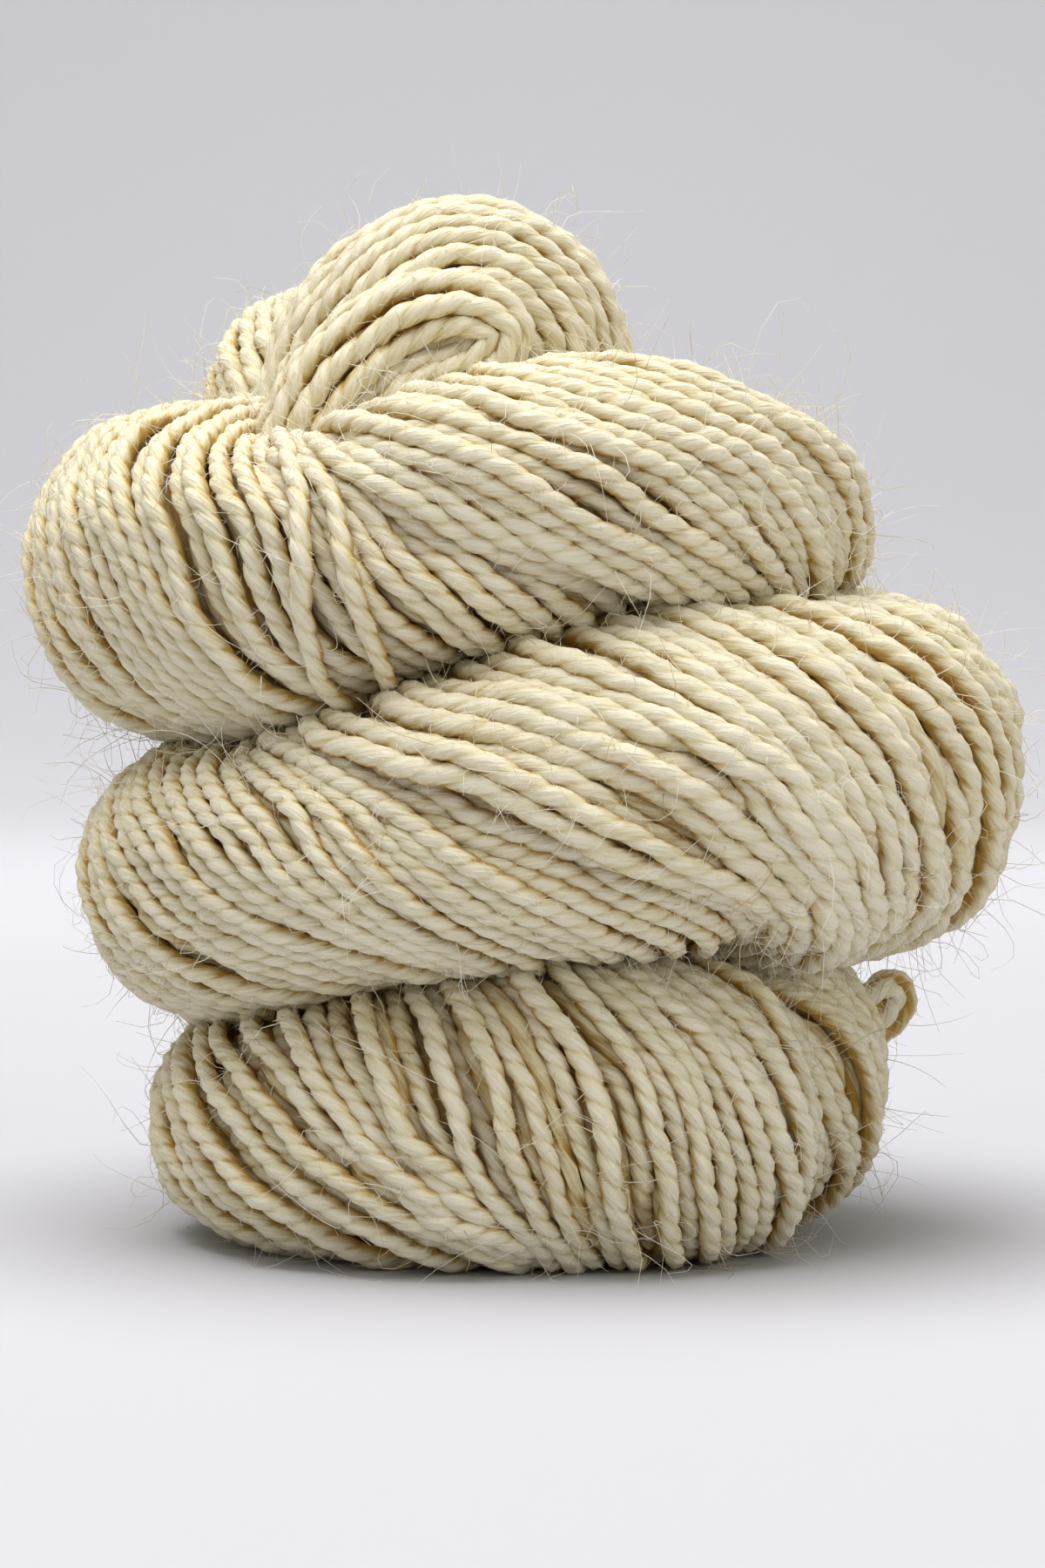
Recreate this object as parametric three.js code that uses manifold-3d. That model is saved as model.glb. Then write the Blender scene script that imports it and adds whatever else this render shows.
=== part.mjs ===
// A hank of hand knitting yarn. The skein's two legs are twisted into one thick bundle, and the bundle
// is coiled into three rising tiers with a small turn on top, where the skein's end loop shows.
// Units are millimetres, +Z is up, the front is -Y, and the origin is the middle of the flat base.

import * as THREE from 'three';
import { mergeVertices } from 'three/addons/utils/BufferGeometryUtils.js';
import Module from 'manifold-3d';

// Driving sizes
const sectionRoundness = 0.85; // 1 is an ellipse, less is a fuller section pressed by its neighbours
const innerClearance = 0.8; // the bundle's inner side stops this far from the coil's axis
const wrapFace = 45; // degrees either way from the outermost line, where a wrap's place is set
const wrapReach = 130; // degrees from the outermost line to where a wrap has turned under the next tier
const wrapLean = 25; // degrees of turn that a wrap advances between those two
const furrowReach = 120; // degrees from the outermost line to where the furrows begin to fade
const furrowFade = 30;
const outerSides = 18; // sides of the bundle's section on the outside, and fewer on the hidden inside
const innerSides = 6;
const outerReach = 132; // degrees either way from the outermost line
const turnPerRow = 9; // degrees of turn between rows of points, before they crowd beside a furrow
const crowding = 0.5;
const bundlePieces = 5;
const strandSides = 18;
const strandSteps = 18;
const slopeStep = 0.05; // share of a row, for a strand's direction
const baseHeight = 0; // the underside is pressed flat here
const trimSize = 300; // larger than the hank in every direction

// The coil, one row for each station. turn is degrees round the axis: 0 front, 90 right, 180 back.
// ring is the radius of the bundle's middle, axisX and axisY move the axis, and height is the middle's
// height. The last four are the bundle's half sizes away from, towards, above and below its middle.
const coilColumns = ['turn', 'ring', 'axisX', 'axisY', 'height', 'outward', 'inward', 'above', 'below'];
const coilRows = [
  [-235, 14, -1, 2, 8, 4, 4, 3.5, 5],
  [-215, 15, -1, 2, 9.5, 9, 9, 7.5, 9.8],
  [-150, 16.5, -1, 1, 10.5, 15.5, 14, 10, 11.5],
  [-90, 17.5, -0.5, 0, 11.4, 18, 15, 11.5, 12.5],
  [-45, 18.5, 0.5, 0, 13.5, 19.5, 16, 13.5, 15.5],
  [0, 19, 1, 0, 15.3, 20, 17, 15.5, 17.5],
  [40, 18, 1, 0, 15.5, 20, 16, 15, 17.5],
  [90, 17, 0, 0, 15, 18.5, 16, 14.5, 16],
  [135, 19, 0.5, 0, 19, 19, 17, 14.5, 16],
  [180, 21, 1.5, 0, 25, 20, 19, 15, 15.5],
  [270, 24.5, 2.7, 0, 34.5, 21, 22, 14.5, 17],
  [310, 25, 2.7, 0, 38.8, 21, 23, 12.5, 17],
  [335, 25, 2.7, 0, 41.5, 20.7, 23, 13.5, 15.3],
  [360, 25, 2.7, 0, 43.6, 19.8, 23, 16, 16],
  [405, 25, 2.7, 0, 45.4, 20.5, 23, 17, 17.5],
  [450, 25, 2.7, 0, 45.4, 20.6, 23, 17.5, 18.5],
  [540, 24, -2, 0, 54, 20.6, 22, 17, 17],
  [630, 22, -6.9, 0, 65, 19, 20, 15, 18],
  [660, 22, -6.9, 0, 66.7, 19.3, 20, 14, 18.7],
  [690, 22, -6.9, 0, 68.3, 19.3, 20, 9, 20.5],
  [720, 22, -6.9, 0, 70.2, 19, 20, 12.3, 15.5],
  [765, 22, -6.9, 0, 71, 18.7, 20, 13, 15],
  [815, 22, -6.9, 0, 70.5, 18.7, 20, 10.5, 15],
  [855, 20, -6.9, 0, 72, 18, 18, 11.5, 15],
  [905, 18.5, -7, 1, 75.2, 14, 15, 10.5, 14],
  [935, 17, -7.5, 1, 78, 8.5, 10, 7.5, 10],
  [955, 16, -8, 1, 79.5, 4, 5, 4, 5],
];

// The furrows between the two twisted legs, one row each. A furrow runs down the bundle's outside and
// advances as it does: upper, middle and lower are its turns at 45 degrees above the outermost line,
// on it and 45 degrees below. depth is a share of the bundle's size, and the widths are degrees of
// turn on the side before the furrow and on the side after it.
const furrowColumns = ['upper', 'middle', 'lower', 'depth', 'before', 'after'];
const furrowRows = [
  [-232, -230, -228, 0, 8, 8],
  [-146, -141, -136, 0.16, 10, 10],
  [-16, -9.5, -1.5, 0.08, 9, 6],
  [49, 52, 60, 0.3, 7, 12],
  [130, 140, 150, 0.16, 9, 9],
  [239, 252, 266, 0.16, 9, 9],
  [320, 349, 388, 0.14, 12, 7],
  [464, 477, 491, 0.16, 9, 9],
  [587, 600, 613, 0.16, 9, 9],
  [697, 711, 749, 0.16, 8, 10],
  [801, 812, 824, 0.14, 9, 9],
  [881, 892, 904, 0.1, 9, 9],
  [948, 950, 952, 0, 8, 8],
];

// The pieces on top and the small loop at the lower right: middle points with two half widths, the
// first towards the named facing direction and the second square to it.
const strandColumns = ['x', 'y', 'z', 'facing', 'across'];
const axisPostRows = [
  [0.5, 0, 10, 4, 4],
  [1, 0, 22, 5, 5],
  [2.5, 0, 44, 6, 6],
  [-3, 0, 58, 7, 7],
  [-7, 1, 74, 9, 9],
];
const shoulderRows = [
  [-1, 20, 75, 9.5, 9],
  [-9, 19, 78, 9.5, 9.5],
  [-16.5, 15, 81, 9, 9.5],
  [-21, 9, 82.5, 8.5, 9.5],
  [-18.5, 3.5, 80.5, 8.5, 9],
];
const archRows = [
  [-18, 0, 70, 10, 8],
  [-18.5, -1, 79, 10.5, 8],
  [-14, -1.5, 87, 11.5, 9],
  [-6.5, -1, 90.6, 12, 10.4],
  [-0.5, 1, 87, 11.5, 10.6],
  [0, 3, 78, 10.5, 9.5],
  [-1, 4, 70, 10, 8],
];
const endLoopRows = [
  [-21, -17, 70, 4.5, 4.5],
  [-20, -18, 78, 5, 5],
  [-14.5, -16.8, 85, 5.5, 5],
  [-7.5, -15.6, 88.2, 5.5, 4.6],
  [-2, -15.2, 86.6, 5, 3],
  [-4.8, -16, 83.2, 4.5, 2.8],
  [-12, -17.2, 80.3, 4.5, 3],
  [-19, -18, 73, 4.5, 3.5],
];
const strayLoopRows = [
  [30, 12, 17, 3, 3],
  [34.5, 14, 19.5, 2.6, 2.6],
  [37.5, 15, 21, 2, 2],
  [38.6, 15, 21.5, 1, 1],
];
const towardsViewer = new THREE.Vector3(0, -1, 0);
const upwards = new THREE.Vector3(0, 0, 1);

function named(columns, rows) {
  return rows.map((row) => Object.fromEntries(columns.map((name, index) => [name, row[index]])));
}

// A smooth curve through the rows, with the slope at each row the mean of its neighbours' slopes.
function smoothRow(stations, key, place) {
  const last = stations.length - 1;
  let index = 0;
  while (index < last - 1 && place >= stations[index + 1][key]) {
    index += 1;
  }
  const span = stations[index + 1][key] - stations[index][key];
  const share = (place - stations[index][key]) / span;
  const chord = (at, name) => {
    const from = stations[at];
    const to = stations[at + 1];
    return (to[name] - from[name]) / (to[key] - from[key]);
  };
  const slope = (at, name) => {
    const before = chord(Math.max(at - 1, 0), name);
    const after = chord(Math.min(at, last - 1), name);
    return (before + after) / 2;
  };
  const square = share * share;
  const cube = square * share;
  const result = {};
  for (const name of Object.keys(stations[0])) {
    const start = stations[index][name];
    const end = stations[index + 1][name];
    result[name] =
      (2 * cube - 3 * square + 1) * start +
      (cube - 2 * square + share) * span * slope(index, name) +
      (3 * square - 2 * cube) * end +
      (cube - square) * span * slope(index + 1, name);
  }
  return result;
}

const coil = named(coilColumns, coilRows);
const furrows = named(furrowColumns, furrowRows);

// A furrow's turn at an angle round the bundle. On the hidden inner side it comes back.
function furrowTurn(furrow, around) {
  const stations = [
    { around: -180, turn: furrow.middle },
    { around: -wrapReach, turn: furrow.lower + wrapLean },
    { around: -wrapFace, turn: furrow.lower },
    { around: 0, turn: furrow.middle },
    { around: wrapFace, turn: furrow.upper },
    { around: wrapReach, turn: furrow.upper - wrapLean },
    { around: 180, turn: furrow.middle },
  ];
  return smoothRow(stations, 'around', around).turn;
}

function legRelief(turn, around) {
  const past = Math.abs(around) - furrowReach;
  const fade = THREE.MathUtils.clamp(1 - past / furrowFade, 0, 1);
  let size = 1;
  for (const furrow of furrows) {
    const distance = turn - furrowTurn(furrow, around);
    const width = distance < 0 ? furrow.before : furrow.after;
    size -= furrow.depth * fade * Math.exp(-((distance / width) ** 2));
  }
  return size;
}

function fullPower(value) {
  return Math.sign(value) * Math.abs(value) ** sectionRoundness;
}

// The bundle's surface at a turn of the coil and an angle round the section, 0 outermost and 90 on top.
function bundlePoint(turn, around) {
  const onCoil = THREE.MathUtils.clamp(turn, coil[0].turn, coil[coil.length - 1].turn);
  const station = smoothRow(coil, 'turn', onCoil);
  const across = fullPower(Math.cos(THREE.MathUtils.degToRad(around)));
  const along = fullPower(Math.sin(THREE.MathUtils.degToRad(around)));
  const relief = legRelief(turn, around);
  const reach = across > 0 ? station.outward : station.inward;
  const rise = along > 0 ? station.above : station.below;
  const radius = Math.max(station.ring + reach * across * relief, innerClearance);
  const angle = THREE.MathUtils.degToRad(turn);
  return new THREE.Vector3(
    station.axisX + radius * Math.sin(angle),
    station.axisY - radius * Math.cos(angle),
    station.height + rise * along * relief,
  );
}

// A closed body from rings of points, with a fan over each end.
function closedSweep(rings) {
  const sides = rings[0].length;
  const positions = [];
  const faces = [];
  for (const ring of rings) {
    for (const point of ring) {
      positions.push(point.x, point.y, point.z);
    }
  }
  for (let row = 0; row < rings.length - 1; row += 1) {
    for (let side = 0; side < sides; side += 1) {
      const here = row * sides + side;
      const beside = row * sides + ((side + 1) % sides);
      faces.push(here, here + sides, beside + sides);
      faces.push(here, beside + sides, beside);
    }
  }
  for (const row of [0, rings.length - 1]) {
    const middle = new THREE.Vector3();
    for (const point of rings[row]) {
      middle.addScaledVector(point, 1 / sides);
    }
    const hub = positions.length / 3;
    positions.push(middle.x, middle.y, middle.z);
    for (let side = 0; side < sides; side += 1) {
      const here = row * sides + side;
      const beside = row * sides + ((side + 1) % sides);
      if (row === 0) {
        faces.push(hub, here, beside);
      } else {
        faces.push(hub, beside, here);
      }
    }
  }
  const geometry = new THREE.BufferGeometry();
  geometry.setAttribute('position', new THREE.Float32BufferAttribute(positions, 3));
  geometry.setIndex(faces);
  return geometry;
}

// The angles round the section, close together on the outside and wide apart on the hidden inside.
function sectionAngles() {
  const angles = [];
  for (let side = 0; side < outerSides; side += 1) {
    angles.push(outerReach * ((2 * side) / outerSides - 1));
  }
  for (let side = 0; side < innerSides; side += 1) {
    angles.push(outerReach + ((360 - 2 * outerReach) * side) / innerSides);
  }
  return angles.map((angle) => (angle > 180 ? angle - 360 : angle));
}

// Rows of points that follow the furrows, closer together beside them.
function bundleRings() {
  const angles = sectionAngles();
  const rings = [];
  for (let index = 0; index < furrows.length - 1; index += 1) {
    const start = furrows[index];
    const end = furrows[index + 1];
    const rows = Math.ceil((end.middle - start.middle) / turnPerRow) + 1;
    for (let row = 0; row < rows; row += 1) {
      const even = row / rows;
      const share = even - (crowding * Math.sin(2 * Math.PI * even)) / (2 * Math.PI);
      const turns = angles.map((around) => {
        const from = furrowTurn(start, around);
        return from + (furrowTurn(end, around) - from) * share;
      });
      rings.push(turns.map((turn, side) => bundlePoint(turn, angles[side])));
    }
  }
  return rings;
}

// The bundle in pieces of less than one turn, so that no piece runs into itself. Each piece reaches
// one row into the next.
function bundleBodies() {
  const rings = bundleRings();
  const perPiece = Math.ceil((rings.length - 1) / bundlePieces);
  const bodies = [];
  for (let start = 0; start < rings.length - 1; start += perPiece) {
    bodies.push(closedSweep(rings.slice(start, start + perPiece + 2)));
  }
  return bodies;
}

// A round strand through its rows, turned so that its first half width faces one direction.
function strandBody(rows, facing) {
  const stations = named(strandColumns, rows).map((row, place) => ({ place, ...row }));
  const last = stations.length - 1;
  const middle = (at) => {
    const row = smoothRow(stations, 'place', THREE.MathUtils.clamp(at, 0, last));
    return new THREE.Vector3(row.x, row.y, row.z);
  };
  const rings = [];
  for (let step = 0; step <= strandSteps; step += 1) {
    const place = (last * step) / strandSteps;
    const row = smoothRow(stations, 'place', place);
    const along = middle(place + slopeStep).sub(middle(place - slopeStep)).normalize();
    const front = facing.clone().addScaledVector(along, -facing.dot(along)).normalize();
    const side = new THREE.Vector3().crossVectors(front, along);
    const ring = [];
    for (let index = 0; index < strandSides; index += 1) {
      const angle = (2 * Math.PI * index) / strandSides;
      const point = middle(place);
      point.addScaledVector(front, row.facing * Math.cos(angle));
      point.addScaledVector(side, row.across * Math.sin(angle));
      ring.push(point);
    }
    rings.push(ring);
  }
  return closedSweep(rings);
}

const wasm = await Module();
wasm.setup();

function toSolid(geometry) {
  const bare = geometry.clone();
  bare.deleteAttribute('normal');
  bare.deleteAttribute('uv');
  const merged = mergeVertices(bare);
  const mesh = new wasm.Mesh({
    numProp: 3,
    vertProperties: new Float32Array(merged.attributes.position.array),
    triVerts: new Uint32Array(merged.index.array),
  });
  return new wasm.Manifold(mesh);
}

function toGeometry(solid) {
  const mesh = solid.getMesh();
  const geometry = new THREE.BufferGeometry();
  geometry.setAttribute('position', new THREE.Float32BufferAttribute(mesh.vertProperties, 3));
  geometry.setIndex(new THREE.Uint32BufferAttribute(mesh.triVerts, 1));
  return geometry;
}

// The whole hank, pressed flat where it stands.
function hankGeometry() {
  const bodies = [
    ...bundleBodies(),
    strandBody(axisPostRows, towardsViewer),
    strandBody(shoulderRows, upwards),
    strandBody(archRows, towardsViewer),
    strandBody(endLoopRows, towardsViewer),
    strandBody(strayLoopRows, towardsViewer),
  ];
  let hank = toSolid(bodies[0]);
  for (const body of bodies.slice(1)) {
    hank = hank.add(toSolid(body));
  }
  const above = new THREE.BoxGeometry(trimSize, trimSize, trimSize);
  above.translate(0, 0, baseHeight + trimSize / 2);
  return toGeometry(hank.intersect(toSolid(above)));
}

const undyedWool = new THREE.MeshStandardMaterial({ color: 0xd9cfae, roughness: 0.95, metalness: 0 });
const yarnHank = new THREE.Mesh(hankGeometry(), undyedWool);
yarnHank.name = 'yarn_hank';

const knittingYarn = new THREE.Group();
knittingYarn.add(yarnHank);

export default knittingYarn;
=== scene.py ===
import math

import bmesh
import bpy
import numpy as np
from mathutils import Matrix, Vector
from mathutils.bvhtree import BVHTree


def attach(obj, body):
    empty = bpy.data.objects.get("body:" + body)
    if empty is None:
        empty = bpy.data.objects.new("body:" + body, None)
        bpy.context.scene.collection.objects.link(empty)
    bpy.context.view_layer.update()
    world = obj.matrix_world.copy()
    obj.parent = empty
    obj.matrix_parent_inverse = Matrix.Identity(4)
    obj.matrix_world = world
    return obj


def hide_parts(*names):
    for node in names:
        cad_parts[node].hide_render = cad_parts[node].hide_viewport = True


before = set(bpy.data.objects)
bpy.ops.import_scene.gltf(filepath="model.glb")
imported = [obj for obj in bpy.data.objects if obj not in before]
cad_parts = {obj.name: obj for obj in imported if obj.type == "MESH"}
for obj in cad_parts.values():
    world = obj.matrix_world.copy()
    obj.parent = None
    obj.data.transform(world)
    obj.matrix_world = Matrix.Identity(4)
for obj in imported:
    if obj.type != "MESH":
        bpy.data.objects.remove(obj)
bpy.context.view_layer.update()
mm = 0.001  # every size below is in millimetres, and the scene is in metres
fullTurn = 2 * math.pi
tiny = 1e-9  # keeps a division or a sign from meeting zero


# The hank's surface: the same coil, furrows and strands as its solid.
hank = {
    "sectionRoundness": 0.85,  # 1 is an ellipse, less is a fuller section
    "innerClearance": 0.8,  # how near the bundle comes to the coil's axis
    "wrapFace": 45,  # degrees either way from the outermost line, where a wrap's place is set
    "wrapReach": 130,
    "wrapLean": 25,  # degrees of turn that a wrap advances between those two
    "furrowReach": 120,  # degrees round the bundle either way that a furrow keeps its depth
    "furrowFade": 30,
}

# Each row is a place on the coil: its turn in degrees, the coil's radius and axis, the height of the bundle's
# middle, and how far its section reaches outwards, inwards, up and down.
coilColumns = ("turn", "ring", "axisX", "axisY", "height", "outward", "inward", "above", "below")
coilRows = [
    (-235, 14, -1, 2, 8, 4, 4, 3.5, 5),
    (-215, 15, -1, 2, 9.5, 9, 9, 7.5, 9.8),
    (-150, 16.5, -1, 1, 10.5, 15.5, 14, 10, 11.5),
    (-90, 17.5, -0.5, 0, 11.4, 18, 15, 11.5, 12.5),
    (-45, 18.5, 0.5, 0, 13.5, 19.5, 16, 13.5, 15.5),
    (0, 19, 1, 0, 15.3, 20, 17, 15.5, 17.5),
    (40, 18, 1, 0, 15.5, 20, 16, 15, 17.5),
    (90, 17, 0, 0, 15, 18.5, 16, 14.5, 16),
    (135, 19, 0.5, 0, 19, 19, 17, 14.5, 16),
    (180, 21, 1.5, 0, 25, 20, 19, 15, 15.5),
    (270, 24.5, 2.7, 0, 34.5, 21, 22, 14.5, 17),
    (310, 25, 2.7, 0, 38.8, 21, 23, 12.5, 17),
    (335, 25, 2.7, 0, 41.5, 20.7, 23, 13.5, 15.3),
    (360, 25, 2.7, 0, 43.6, 19.8, 23, 16, 16),
    (405, 25, 2.7, 0, 45.4, 20.5, 23, 17, 17.5),
    (450, 25, 2.7, 0, 45.4, 20.6, 23, 17.5, 18.5),
    (540, 24, -2, 0, 54, 20.6, 22, 17, 17),
    (630, 22, -6.9, 0, 65, 19, 20, 15, 18),
    (660, 22, -6.9, 0, 66.7, 19.3, 20, 14, 18.7),
    (690, 22, -6.9, 0, 68.3, 19.3, 20, 9, 20.5),
    (720, 22, -6.9, 0, 70.2, 19, 20, 12.3, 15.5),
    (765, 22, -6.9, 0, 71, 18.7, 20, 13, 15),
    (815, 22, -6.9, 0, 70.5, 18.7, 20, 10.5, 15),
    (855, 20, -6.9, 0, 72, 18, 18, 11.5, 15),
    (905, 18.5, -7, 1, 75.2, 14, 15, 10.5, 14),
    (935, 17, -7.5, 1, 78, 8.5, 10, 7.5, 10),
    (955, 16, -8, 1, 79.5, 4, 5, 4, 5),
]

# Furrows where the skein's legs cross and turn. Each row is the turn at 45 degrees above the bundle's
# outermost line, on it and 45 degrees below, the depth as a share of the section, and its reach in degrees
# before and after.
furrowRows = [
    (-146, -141, -136, 0.16, 10, 10),
    (-16, -9.5, -1.5, 0.08, 9, 6),
    (49, 52, 60, 0.3, 7, 12),
    (130, 140, 150, 0.16, 9, 9),
    (239, 252, 266, 0.16, 9, 9),
    (320, 349, 388, 0.14, 12, 7),
    (464, 477, 491, 0.16, 9, 9),
    (587, 600, 613, 0.16, 9, 9),
    (697, 711, 749, 0.16, 8, 10),
    (801, 812, 824, 0.14, 9, 9),
    (881, 892, 904, 0.1, 9, 9),
]

# Where single turns of yarn run down the bundle, as their turn at the same three angles. The yarn between
# two rows changes evenly from one's lie to the other's.
wrapRows = [
    (-232, -230, -228),
    (-146, -141, -136),
    (-60, -34, -4),
    (-26, -17, -6),
    (-16, -9.5, -1.5),
    (4, 15.5, 20),
    (12, 23, 31),
    (22, 36, 50),
    (49, 52, 60),
    (54, 62, 80),
    (130, 140, 150),
    (239, 252, 266),
    (296, 314, 337),
    (316, 332, 343),
    (318, 340, 364),
    (320, 349, 388),
    (333, 365, 393),
    (348, 382, 402),
    (383, 396, 409),
    (398, 413, 428),
    (464, 477, 491),
    (587, 600, 613),
    (627, 640, 652),
    (658, 672, 684),
    (671, 679, 691),
    (682, 692, 700),
    (690, 699, 706),
    (694, 706, 718),
    (696, 713, 731),
    (698, 720, 748),
    (705, 732, 766),
    (722, 755, 783),
    (745, 773, 790),
    (768, 791, 806),
    (801, 812, 824),
    (881, 892, 904),
    (948, 950, 952),
]

# Yarns that lie over the others, as rows of turn and angle round the bundle.
overlyingYarns = [
    [(690, 66), (697, 37), (702, -4), (702, -26), (702, -59), (703, -80)],
    [(694, 44), (702, 21), (706, -3), (709, -25), (711, -59), (712, -80)],
]

# What leaves the coil. Each row is the strand's middle as x, y and z, and its half widths facing and across.
# Twist is how far its yarns turn round it from end to end, and layers is how many of them there is room for.
strands = {
    "shoulder": {"rows": [
        (-1, 20, 75, 9.5, 9),
        (-9, 19, 80.5, 9.5, 9.5),
        (-17, 15, 83.5, 9, 9.5),
        (-22, 9, 83.5, 8.5, 9.5),
        (-21.5, 3, 78.5, 8, 9),
        (-18, -1, 71, 7, 8),
    ], "facing": (-0.5, 0, 0.85), "twist": 0.12, "layers": 2},
    "arch": {"rows": [
        (-18, 0, 70, 10, 8),
        (-18.5, -1, 79, 10.5, 8),
        (-14, -1.5, 87, 11.5, 9),
        (-6.5, -1, 90.6, 12, 10.4),
        (-0.5, 1, 87, 11.5, 10.6),
        (0, 3, 78, 10.5, 9.5),
        (-1, 4, 70, 10, 8),
    ], "facing": (0, -1, 0), "twist": 0.12, "layers": 2},
    "endLoop": {"rows": [
        (-21, -17, 70, 4.5, 4.5),
        (-20, -18, 78, 5, 5),
        (-14.5, -16.8, 85, 5.5, 5),
        (-7.5, -15.6, 88.2, 5.5, 4.6),
        (-2, -15.2, 86.6, 5, 3),
        (-4.8, -16, 83.2, 4.5, 2.8),
        (-12, -17.2, 80.3, 4.5, 3),
        (-19, -18, 73, 4.5, 3.5),
    ], "facing": (0, -1, 0), "twist": 0.1, "layers": 1},
    "strayLoop": {"rows": [
        (29, 12, 18, 1.9, 1.9),
        (34.5, 14, 21, 1.9, 1.9),
        (37.4, 15, 22.6, 1.7, 1.7),
        (38.2, 15, 20.6, 1.6, 1.6),
        (35.5, 14.5, 18.2, 1.7, 1.7),
        (29, 12.5, 16, 1.9, 1.9),
    ], "facing": (0, -1, 0), "twist": 0, "layers": 1},
}


# A smooth curve through rows of values, with the slope at each row the mean of its neighbours' slopes.
def smoothValues(places, values, at):
    places = np.asarray(places, float)
    values = np.asarray(values, float)
    at = np.asarray(at, float)
    chords = np.diff(values, axis=0) / np.diff(places)[:, None]
    slopes = np.vstack([chords[:1], (chords[1:] + chords[:-1]) / 2, chords[-1:]])
    index = np.clip(np.searchsorted(places, at, side="right") - 1, 0, len(places) - 2)
    span = (places[index + 1] - places[index])[:, None]
    share = (at - places[index])[:, None] / span
    square, cube = share ** 2, share ** 3
    return (
        (2 * cube - 3 * square + 1) * values[index]
        + (cube - 2 * square + share) * span * slopes[index]
        + (3 * square - 2 * cube) * values[index + 1]
        + (cube - square) * span * slopes[index + 1]
    )


def unit(vectors):
    return vectors / np.maximum(np.linalg.norm(vectors, axis=-1, keepdims=True), tiny)


# The turn of a wrap or furrow at each angle round the bundle.
def wrapTurn(upper, middle, lower, around):
    lean, reach, face = hank["wrapLean"], hank["wrapReach"], hank["wrapFace"]
    places = (-180, -reach, -face, 0, face, reach, 180)
    turns = (lower + 2 * lean, lower + lean, lower, middle, upper, upper - lean, upper - 2 * lean)
    return smoothValues(places, np.array(turns)[:, None], around)[:, 0]


# The share of its size that the bundle keeps in the furrows.
def furrowRelief(turn, around):
    past = np.abs(around) - hank["furrowReach"]
    fade = np.clip(1 - past / hank["furrowFade"], 0, 1)
    size = np.ones(len(turn))
    for upper, middle, lower, depth, before, after in furrowRows:
        distance = turn - wrapTurn(upper, middle, lower, around)
        width = np.where(distance < 0, before, after)
        size -= depth * fade * np.exp(-((distance / width) ** 2))
    return size


def coilSection(turn):
    rows = np.array(coilRows, float)
    held = np.clip(turn, rows[0, 0], rows[-1, 0])
    values = smoothValues(rows[:, 0], rows[:, 1:], held)
    return dict(zip(coilColumns[1:], values.T))


def fullPower(value):
    return np.sign(value) * np.abs(value) ** hank["sectionRoundness"]


# Points on the bundle, inset from its surface towards its middle, and the outward direction there. None of
# them crosses the coil's axis.
def bundlePoints(turn, around, inset):
    section = coilSection(turn)
    across = fullPower(np.cos(np.radians(around)))
    along = fullPower(np.sin(np.radians(around)))
    relief = furrowRelief(turn, around)
    reach = np.where(across > 0, section["outward"], section["inward"]) * across * relief
    rise = np.where(along > 0, section["above"], section["below"]) * along * relief
    radial = np.stack([np.sin(np.radians(turn)), -np.cos(np.radians(turn)), np.zeros(len(turn))], 1)
    upright = np.array([0.0, 0.0, 1.0])
    middle = np.stack([section["axisX"], section["axisY"], section["height"]], 1)
    middle = middle + radial * section["ring"][:, None]
    offset = radial * reach[:, None] + upright * rise[:, None]
    outward = unit(offset)
    points = middle + offset - outward * inset
    reached = ((points - middle) * radial).sum(1)
    nearest = hank["innerClearance"] - section["ring"]
    outward = np.where((reached < nearest)[:, None], upright * np.sign(rise + tiny)[:, None], outward)
    drop = reached - np.maximum(reached, nearest)
    return points - radial * drop[:, None], outward


# The middle line of a strand with its two directions across and its half widths.
def strandFrames(strand, steps):
    rows = np.array(strand["rows"], float)
    places = np.arange(len(rows))
    values = smoothValues(places, rows, np.linspace(0, len(rows) - 1, steps))
    middle = values[:, :3]
    along = unit(np.gradient(middle, axis=0))
    facing = np.array(strand["facing"], float)
    front = unit(facing - along * (along @ facing)[:, None])
    side = np.cross(front, along)
    return middle, front, side, values[:, 3], values[:, 4]


def strandPoints(strand, angles, inset):
    middle, front, side, facing, across = strandFrames(strand, len(angles))
    offset = front * (facing * np.cos(angles))[:, None] + side * (across * np.sin(angles))[:, None]
    outward = unit(offset)
    return middle + offset - outward * inset, outward


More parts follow.
